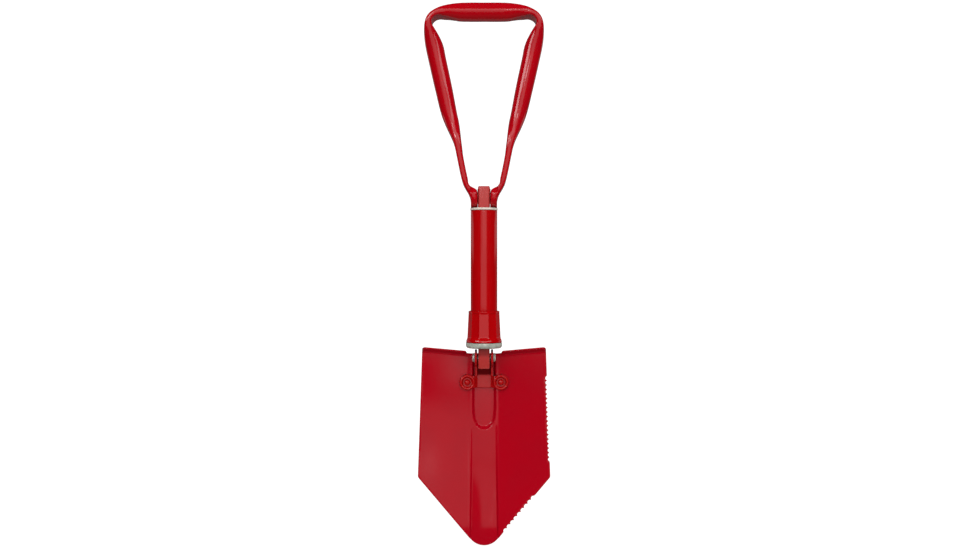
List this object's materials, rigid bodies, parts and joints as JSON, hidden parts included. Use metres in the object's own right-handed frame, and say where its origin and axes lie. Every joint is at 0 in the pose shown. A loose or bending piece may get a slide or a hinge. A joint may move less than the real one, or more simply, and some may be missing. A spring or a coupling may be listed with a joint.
{
  "type": "folding shovel",
  "caption": "Folding steel shovel: pointed dished blade with a saw edge on a lower hinge, tubular shaft with a screw locking collar, closed-loop tube handle on an upper hinge.",
  "frame": {"origin": "middle of the flat back of the blade's socket groove, the face the shovel lies on", "axes": "+Z along the shaft towards the handle, +Y out of the blade's back, +X to the right seen from the blade's concave front"},
  "size_m": [0.1438, 0.0444, 0.5848],
  "materials": {
    "red_enamel": "gloss",
    "zinc_plate": "satin",
    "bright_steel": "satin",
    "spring_steel": "dark",
    "black_nylon": "matte"
  },
  "bodies": {
    "core": {"tie_bar": "red_enamel", "blade_pivot_pin": "bright_steel", "handle_pivot_pin": "bright_steel", "pivot_washer_left": "bright_steel", "pivot_washer_right": "bright_steel"},
    "lock": {"lock_ring": "zinc_plate", "collar_retainer": "spring_steel"},
    "collar": {"locking_collar": "red_enamel"},
    "tube": {"shaft_tube": "red_enamel", "top_ring": "zinc_plate", "lower_guide": "black_nylon"},
    "blade_assembly": {"blade": "red_enamel", "blade_bracket": "red_enamel", "blade_rivet_left": "red_enamel", "blade_rivet_right": "red_enamel"},
    "handle": {"handle_loop": "red_enamel", "handle_bush_left": "bright_steel", "handle_bush_right": "bright_steel"}
  },
  "joints": [
    {"name": "handle_fold", "type": "hinge", "parent": "core", "child": "handle", "pos_m": [0, -0.0252, 0.2023], "axis": [1, 0, 0], "range_deg": [0, 180]},
    {"name": "blade_fold", "type": "hinge", "parent": "core", "child": "blade_assembly", "pos_m": [0, -0.0252, 0.03], "axis": [-1, 0, 0], "range_deg": [0, 180]},
    {"name": "lock_ring_slide", "type": "slide", "parent": "core", "child": "lock", "axis": [0, 0, 1], "range_m": [0, 0.0031]},
    {"name": "collar_turn", "type": "hinge", "parent": "lock", "child": "collar", "pos_m": [0, -0.0252, 0.06], "axis": [0, 0, 1], "range_deg": [0, 720]},
    {"name": "tube_slide", "type": "slide", "parent": "core", "child": "tube", "axis": [0, 0, 1], "range_m": [-0.0031, 0]}
  ],
  "couplings": [
    {"joint": "lock_ring_slide", "follows": "collar_turn", "m_per_rad": 0.00023873},
    {"joint": "tube_slide", "follows": "collar_turn", "m_per_rad": -0.00023873}
  ]
}
